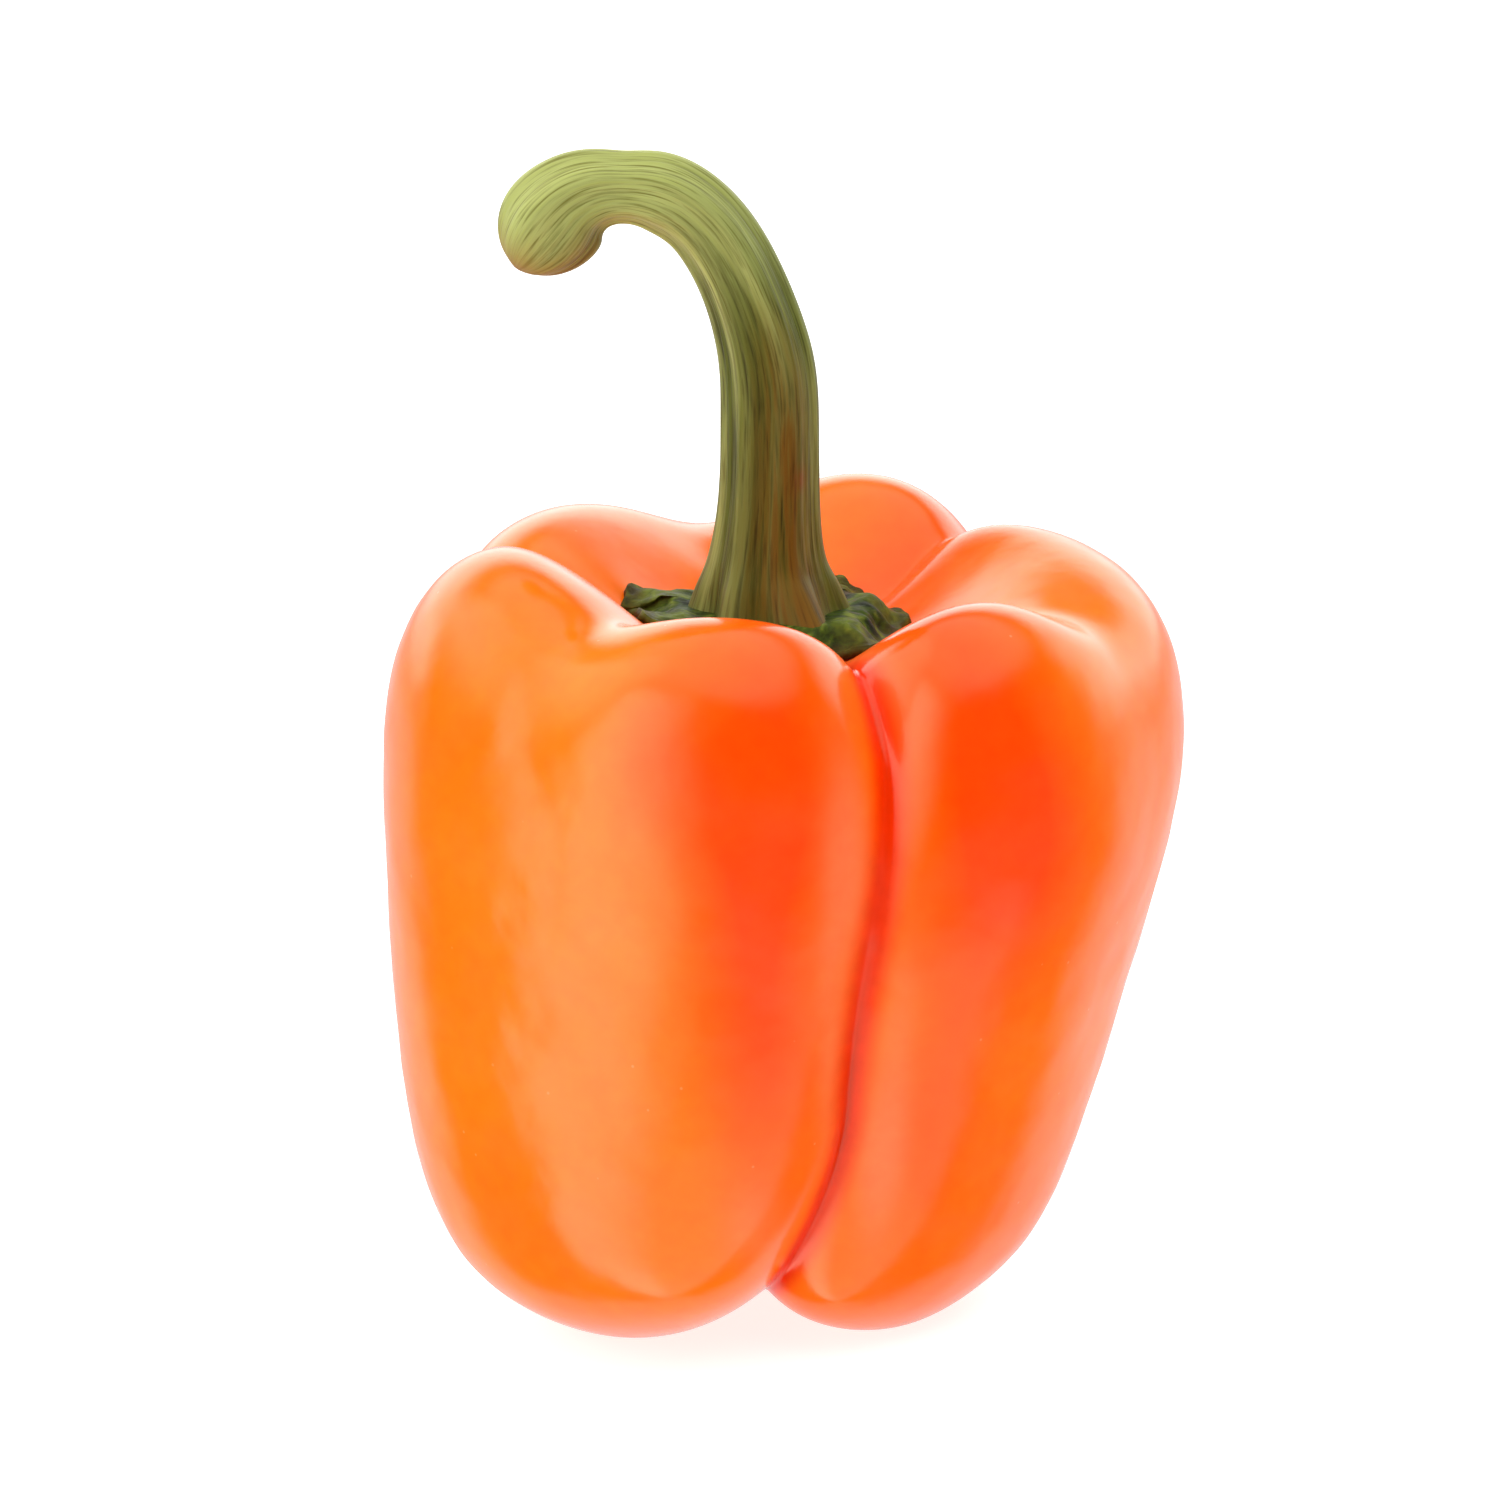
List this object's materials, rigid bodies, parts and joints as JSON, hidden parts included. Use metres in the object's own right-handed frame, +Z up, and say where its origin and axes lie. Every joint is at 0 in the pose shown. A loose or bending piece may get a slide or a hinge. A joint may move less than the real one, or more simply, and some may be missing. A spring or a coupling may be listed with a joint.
{
  "type": "bell pepper",
  "caption": "Upright blocky bell pepper with three double-shouldered lobes, a green calyx in the hollow on top and a long stem that arches over to a swollen end.",
  "frame": {"origin": "on the surface that the pepper stands on, under the middle of its outline seen from above", "axes": "+Z up along the fruit, -Y towards the side with the clearest furrow, -X the side that the stem hooks towards"},
  "size_m": [0.0861, 0.0839, 0.127],
  "materials": {
    "skin": "smooth waxy orange pepper skin",
    "calyx": "matt, slightly wrinkled dark green calyx",
    "stem": "satin olive-green stem with lengthwise ribs"
  },
  "bodies": {
    "root": {"fruit": "skin", "calyx": "calyx", "stem": "stem"}
  },
  "joints": []
}
